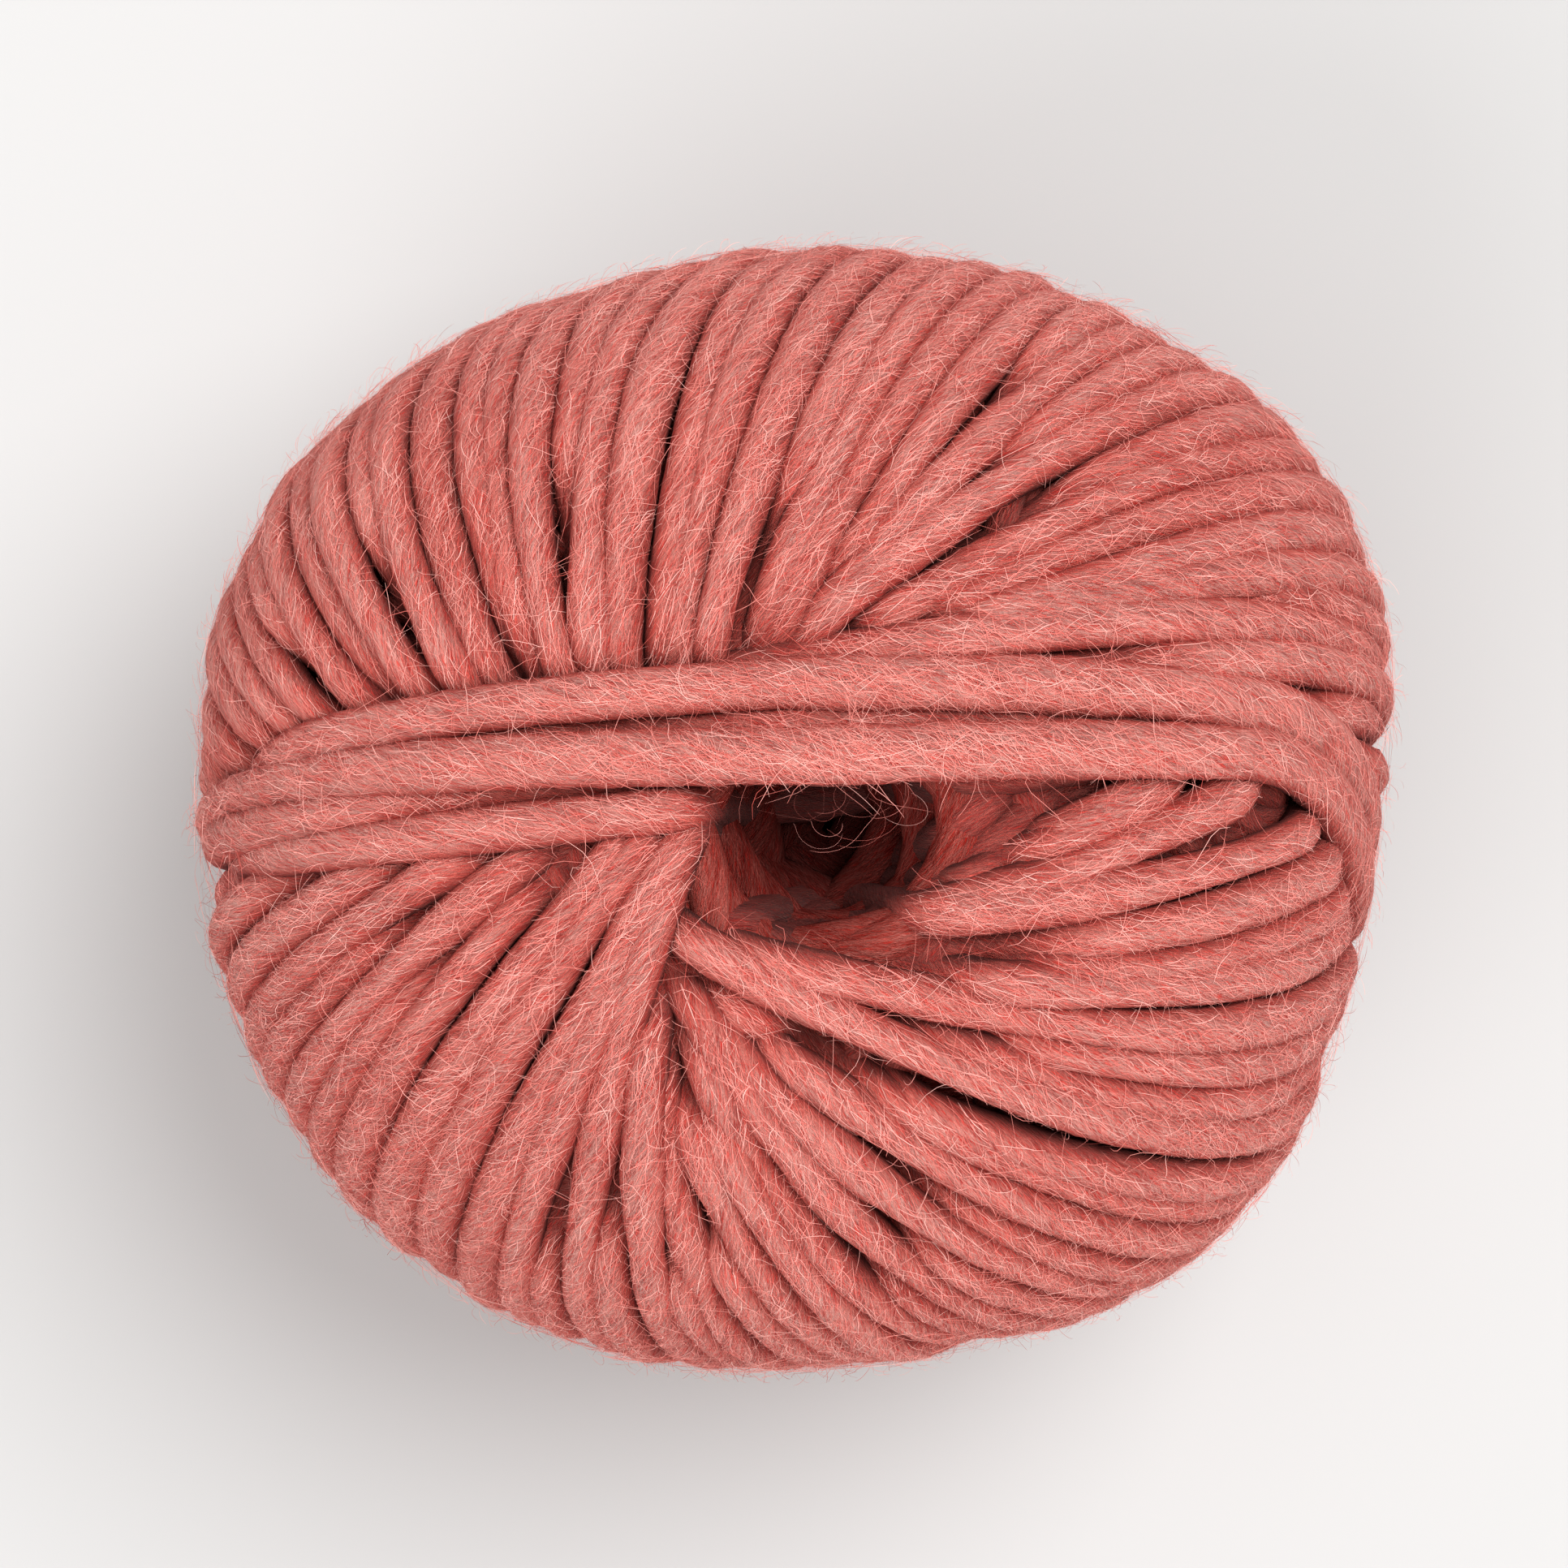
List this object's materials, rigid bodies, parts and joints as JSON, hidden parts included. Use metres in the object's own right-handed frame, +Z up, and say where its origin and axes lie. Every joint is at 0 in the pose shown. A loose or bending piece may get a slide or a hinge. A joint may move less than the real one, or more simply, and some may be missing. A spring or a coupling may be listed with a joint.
{
  "type": "ball of yarn",
  "caption": "Squat hand-wound ball of bulky soft wool yarn with a pull hole in its crown and its last turns crossing beside the hole.",
  "frame": {"origin": "middle of the ball's box, on the surface that it lies on", "axes": "+Z up through the pull hole; +X along the last turns, which cross the crown on the +Y side of the hole"},
  "size_m": [0.1404, 0.1312, 0.1058],
  "materials": {
    "wool": "soft heathered single-ply wool, matt, with a pale fuzz"
  },
  "bodies": {
    "root": {"yarn_ball": "wool"}
  },
  "joints": []
}
